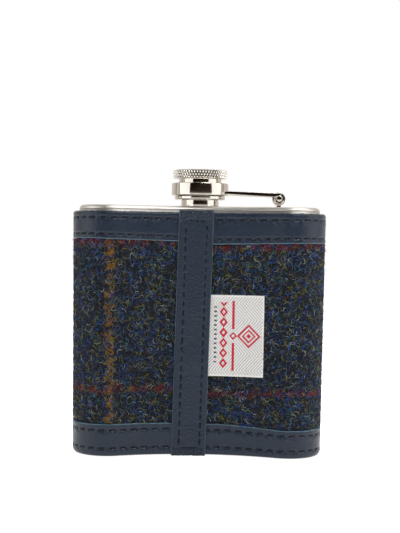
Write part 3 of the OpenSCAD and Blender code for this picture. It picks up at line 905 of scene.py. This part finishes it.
def along_red(rng, count):
    """Roots of the red fibres, thickest in the dashes of the two red rows."""
    s = rng.uniform(0, WRAP_L, count * 2)
    s = s[rng.uniform(0, 1, len(s)) < 0.15 + 0.85 * dashes(s, RED_DASH)][:count]
    z = rng.choice(RED_ROWS, len(s)) + weft_drift(s) + sway(s, RED_DASH, RED_SWAY)
    return s, z + rng.normal(0, 0.45, len(s)) * MM


def along_ochre(rng, count):
    """The same for the ochre stripes, which run up the cloth."""
    z = rng.uniform(BOTTOM_BAND_TOP, TOP_BAND_LOW, count * 2)
    z = z[rng.uniform(0, 1, len(z)) < 0.1 + 0.9 * dashes(z, OCHRE_DASH)][:count]
    s = rng.choice(OCHRE_ENDS, len(z)) + sway(z, OCHRE_DASH, OCHRE_SWAY)
    return (s + rng.normal(0, 0.75, len(z)) * MM) % WRAP_L, z


for k, (tone, colour, count) in enumerate(WOOLS):
    at = {"rust": along_red, "ochre": along_ochre}.get(tone)
    hair = strands("wool_" + tone, *curls(count, 100 + k, at), yarn_finish("wool_" + tone, colour))
    stand_for(hair, "tweed")

# ---------------------------------------------------------------- woven label

LABEL_W = 20.2 * MM
TUCK = 1.2 * MM
WHITE, RED, INK = (0.77, 0.762, 0.752), (0.50, 0.008, 0.035), (0.06, 0.06, 0.07)


# Places on the ribbon in mm, from its visible lower left corner
CHEVRON_TALL, CHEVRON_WIDE, CHEVRON_FROM, WEAVE_PITCH = 12.4, 5.45, 27.2, 1.12
TICK_X, CHAIN_X, BAR_X, DIAMOND_X, MIDDLE_Z = 2.2, 5.3, 8.9, 14.7, 15.1


def label_pattern(x, z):
    """Herringbone ribbon with ticks, a lozenge chain, a bar in two halves and a stepped diamond."""
    x, z = x / MM, (z - LABEL_LOW) / MM
    lean = CHEVRON_WIDE * (1 - np.abs((CHEVRON_FROM - z) / CHEVRON_TALL % 1 * 2 - 1))
    plain = (z < 0.7) | (z > 29.5) | (x > 19.7)
    wave = np.cos(2 * math.pi * (x - lean) / WEAVE_PITCH)
    line = np.where(plain, 0, np.clip(0.5 + 0.7 * wave, 0, 1))
    colour = np.array(WHITE) * (1 - 0.42 * line)[:, None]
    ticks = (np.abs(x - TICK_X) < 0.5) & (z > 4.2) & (z < 26) & (z % 1.7 < 0.62)
    link_z = np.abs((z - 3.0) % 3.8 - 1.9)
    lozenge = np.abs(x - CHAIN_X) / 1.55 + link_z / 1.9
    chain = (z > 3.0) & (z < 27.5) & (np.abs(lozenge - 0.72) < 0.3)
    bar = (np.abs(x - BAR_X) < 0.42) & (((z > 2.2) & (z < 12.6)) | ((z > 17.6) & (z < 28)))
    small = np.abs(x - BAR_X) + np.abs(z - MIDDLE_Z)
    inner = np.abs(x - DIAMOND_X) + np.abs(z - MIDDLE_Z)
    stepped = (inner < 0.9) | ((inner > 1.8) & (inner < 2.6)) | ((inner > 3.5) & (inner < 4.4))
    red = chain | bar | (np.abs(small - 1.1) < 0.4) | stepped
    colour = np.where(red[:, None], np.array(RED), colour)
    return np.where(ticks[:, None], np.array(INK), colour), line


def label_shape(x, z):
    _, line = label_pattern(x, z)
    edge = np.minimum.reduce([(LABEL_W - x), z - LABEL_LOW, LABEL_TOP - z])
    turn_in = np.clip(1 - edge / (0.45 * MM), 0, 1) ** 2
    tucked = np.clip(-x / TUCK, 0, 1)
    r = BAND_R + 0.20 * MM + 0.03 * MM * line - 0.32 * MM * turn_in - 0.15 * MM * tucked
    r = r + value_noise(x / (7 * MM), z / (8 * MM), 41) * 0.08 * MM
    edge_x = strap_x(LABEL_LOW + (LABEL_TOP - LABEL_LOW) / 2) + HALF_W + x
    return on_sleeve(s_of_x(edge_x, CLOTH_R), r, z)


label = grid("ribbon_label", fine(-TUCK, LABEL_W, 0.13 * MM), fine(LABEL_LOW, LABEL_TOP, 0.13 * MM),
             label_shape, [ribbon], masks=lambda x, z: {"weave_colour": label_pattern(x, z)[0]})
stand_for(label, "label", "woven_label")

# ---------------------------------------------------------------- floor, light and camera

floor_bm = bmesh.new()
bmesh.ops.create_grid(floor_bm, x_segments=2, y_segments=2, size=3)
floor = finish_mesh("pale_floor", floor_bm, [])
pale = Finish("pale_floor", (0.93, 0.93, 0.93), 0.8)
pale.shader.inputs["Emission Color"].default_value = (1, 1, 1, 1)
# The floor looks as white as the backdrop, but lights the flask with less than the camera sees
seen_floor = pale.nodes.new("ShaderNodeLightPath")
pale.wire(pale.math("ADD", pale.math("MULTIPLY", seen_floor.outputs["Is Camera Ray"], 0.34), 0.46),
          pale.shader.inputs["Emission Strength"])
floor.data.materials.append(pale.material)

world = bpy.data.worlds.new("studio")
bpy.context.scene.world = world
world.use_nodes = True
nodes, links = world.node_tree.nodes, world.node_tree.links
sky = nodes["Background"]
sky.inputs["Strength"].default_value = 0.8
direction = nodes.new("ShaderNodeTexCoord")
turned_room = nodes.new("ShaderNodeMapping")
turned_room.inputs["Rotation"].default_value = (0, 0, math.radians(4))
links.new(direction.outputs["Generated"], turned_room.inputs["Vector"])
split = nodes.new("ShaderNodeSeparateXYZ")
links.new(turned_room.outputs["Vector"], split.inputs[0])
shade = nodes.new("ShaderNodeValToRGB")
span = nodes.new("ShaderNodeMapRange")
span.inputs["From Min"].default_value = -1
links.new(split.outputs["Y"], span.inputs["Value"])
links.new(span.outputs[0], shade.inputs[0])
# The side that the camera stands on is a darker room
room = [(0.0, (0.035, 0.026, 0.022)), (0.14, (0.05, 0.04, 0.035)), (0.27, (0.26, 0.25, 0.24)),
        (0.42, (0.42, 0.42, 0.42)), (0.56, (1, 1, 1)), (0.655, (1, 1, 1)), (0.67, (0.05, 0.045, 0.04)),
        (0.69, (0.05, 0.045, 0.04)), (0.705, (1, 1, 1))]
while len(shade.color_ramp.elements) < len(room):
    shade.color_ramp.elements.new(0.5)
for element, (at, colour) in zip(shade.color_ramp.elements, room):
    element.position = at
    element.color = (*colour, 1)
# A dark corner of the ceiling, high on the left
corner = nodes.new("ShaderNodeVectorMath")
corner.operation = "DOT_PRODUCT"
corner.inputs[1].default_value = Vector((-0.42, -0.58, 0.70)).normalized()
links.new(direction.outputs["Generated"], corner.inputs[0])
corner_shade = nodes.new("ShaderNodeValToRGB")
for element, (at, value) in zip(corner_shade.color_ramp.elements, ((0.62, 1.0), (0.86, 0.08))):
    element.position = at
    element.color = (value, value * 0.93, value * 0.85, 1)
links.new(corner.outputs["Value"], corner_shade.inputs[0])
darker = nodes.new("ShaderNodeMix")
darker.data_type = "RGBA"
darker.blend_type = "MULTIPLY"
darker.inputs[0].default_value = 1.0
links.new(shade.outputs[0], darker.inputs[6])
links.new(corner_shade.outputs[0], darker.inputs[7])
links.new(darker.outputs[2], sky.inputs["Color"])
# The camera itself sees a plain white backdrop in place of the room
plain = nodes.new("ShaderNodeBackground")
plain.inputs["Strength"].default_value = 1.0
plain.inputs["Color"].default_value = (1, 1, 1, 1)
seen = nodes.new("ShaderNodeLightPath")
choose = nodes.new("ShaderNodeMixShader")
links.new(seen.outputs["Is Camera Ray"], choose.inputs[0])
links.new(sky.outputs[0], choose.inputs[1])
links.new(plain.outputs[0], choose.inputs[2])
links.new(choose.outputs[0], nodes["World Output"].inputs["Surface"])


AIM = Vector((0, 0, 0.05))


def softbox(name, at, size, power):
    """A rectangular lamp that faces the middle of the flask."""
    light = bpy.data.lights.new(name, "AREA")
    light.shape = "RECTANGLE"
    light.size, light.size_y = size
    light.energy = power
    obj = bpy.data.objects.new(name, light)
    bpy.context.scene.collection.objects.link(obj)
    obj.location = at
    obj.rotation_euler = (AIM - Vector(at)).to_track_quat("-Z", "Y").to_euler()


softbox("key_left", (-0.64, -0.29, 0.40), (0.72, 0.85), 2.9)
softbox("fill_right", (0.66, -0.24, 0.40), (0.66, 0.85), 2.4)
softbox("top_front", (0.22, -0.42, 0.62), (0.40, 0.11), 2.0)
softbox("top_back", (0.20, 0.10, 0.75), (0.5, 0.4), 1.2)

CAMERA_AT = (0.0004, -0.403, 0.07835)
DOWN, ROLL = math.radians(1.16), math.radians(0.85)
camera = bpy.data.cameras.new("camera")
camera.sensor_width = 36
camera.lens = 71.5947
camera.clip_start = 0.01
camera.clip_end = 20
eye = bpy.data.objects.new("camera", camera)
bpy.context.scene.collection.objects.link(eye)
eye.location = CAMERA_AT
eye.rotation_mode = "XYZ"
forward = Vector((0, math.cos(DOWN), -math.sin(DOWN)))
turn = forward.to_track_quat("-Z", "Y").to_matrix()
eye.rotation_euler = (turn @ Matrix.Rotation(ROLL, 3, "Z")).to_euler()
bpy.context.scene.camera = eye
bpy.context.scene.view_settings.view_transform = "Standard"
